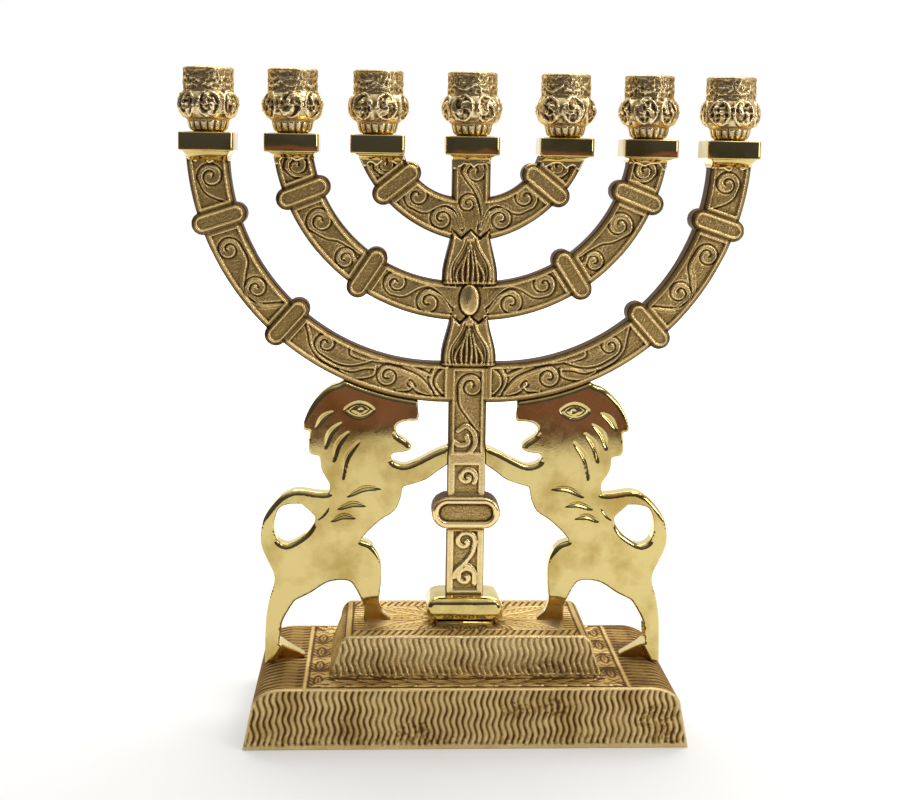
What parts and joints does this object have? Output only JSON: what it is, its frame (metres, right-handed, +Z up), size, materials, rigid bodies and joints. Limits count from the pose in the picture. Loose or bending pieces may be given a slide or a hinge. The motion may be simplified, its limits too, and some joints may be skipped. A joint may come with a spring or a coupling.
{
  "type": "menorah",
  "caption": "Cast-brass branching candelabrum with a stepped hollow base, lions beside the stem, ornamented arms and candle cups that turn on screws.",
  "frame": {"origin": "middle of the base's underside, on the surface that it stands on", "axes": "+X to the right as seen from the front, +Y away from the viewer, +Z up the stem"},
  "size_m": [0.2118, 0.0674, 0.24],
  "materials": {
    "cast_brass": "cast relief, darkened in the hollows and rubbed bright on the ridges",
    "polished_brass": "flat faces ground and polished, soft rounded edges",
    "cup_brass": "finely ornamented casting, bright with dark hollows",
    "steel": "plain machine screws"
  },
  "bodies": {
    "candelabrum": {"base": "cast_brass", "stem": "cast_brass", "arm_inner_left": "cast_brass", "arm_inner_right": "cast_brass", "arm_middle_left": "cast_brass", "arm_middle_right": "cast_brass", "arm_outer_left": "cast_brass", "arm_outer_right": "cast_brass", "lion_left": "polished_brass", "lion_right": "polished_brass", "cup_screws": "steel", "stem_bolt": "steel", "stem_washer": "steel", "lion_screws": "steel"},
    "cup_1": {"cup_1": "cup_brass"},
    "cup_2": {"cup_2": "cup_brass"},
    "cup_3": {"cup_3": "cup_brass"},
    "cup_4": {"cup_4": "cup_brass"},
    "cup_5": {"cup_5": "cup_brass"},
    "cup_6": {"cup_6": "cup_brass"},
    "cup_7": {"cup_7": "cup_brass"}
  },
  "joints": [
    {"name": "cup_1_turn", "type": "hinge", "parent": "candelabrum", "child": "cup_1", "pos_m": [-0.095, 0, 0.217], "axis": [0, 0, 1], "continuous": true},
    {"name": "cup_2_turn", "type": "hinge", "parent": "candelabrum", "child": "cup_2", "pos_m": [-0.0648, 0, 0.217], "axis": [0, 0, 1], "continuous": true},
    {"name": "cup_3_turn", "type": "hinge", "parent": "candelabrum", "child": "cup_3", "pos_m": [-0.0341, 0, 0.217], "axis": [0, 0, 1], "continuous": true},
    {"name": "cup_4_turn", "type": "hinge", "parent": "candelabrum", "child": "cup_4", "pos_m": [0, 0, 0.217], "axis": [0, 0, 1], "continuous": true},
    {"name": "cup_5_turn", "type": "hinge", "parent": "candelabrum", "child": "cup_5", "pos_m": [0.0341, 0, 0.217], "axis": [0, 0, 1], "continuous": true},
    {"name": "cup_6_turn", "type": "hinge", "parent": "candelabrum", "child": "cup_6", "pos_m": [0.0648, 0, 0.217], "axis": [0, 0, 1], "continuous": true},
    {"name": "cup_7_turn", "type": "hinge", "parent": "candelabrum", "child": "cup_7", "pos_m": [0.095, 0, 0.217], "axis": [0, 0, 1], "continuous": true}
  ]
}
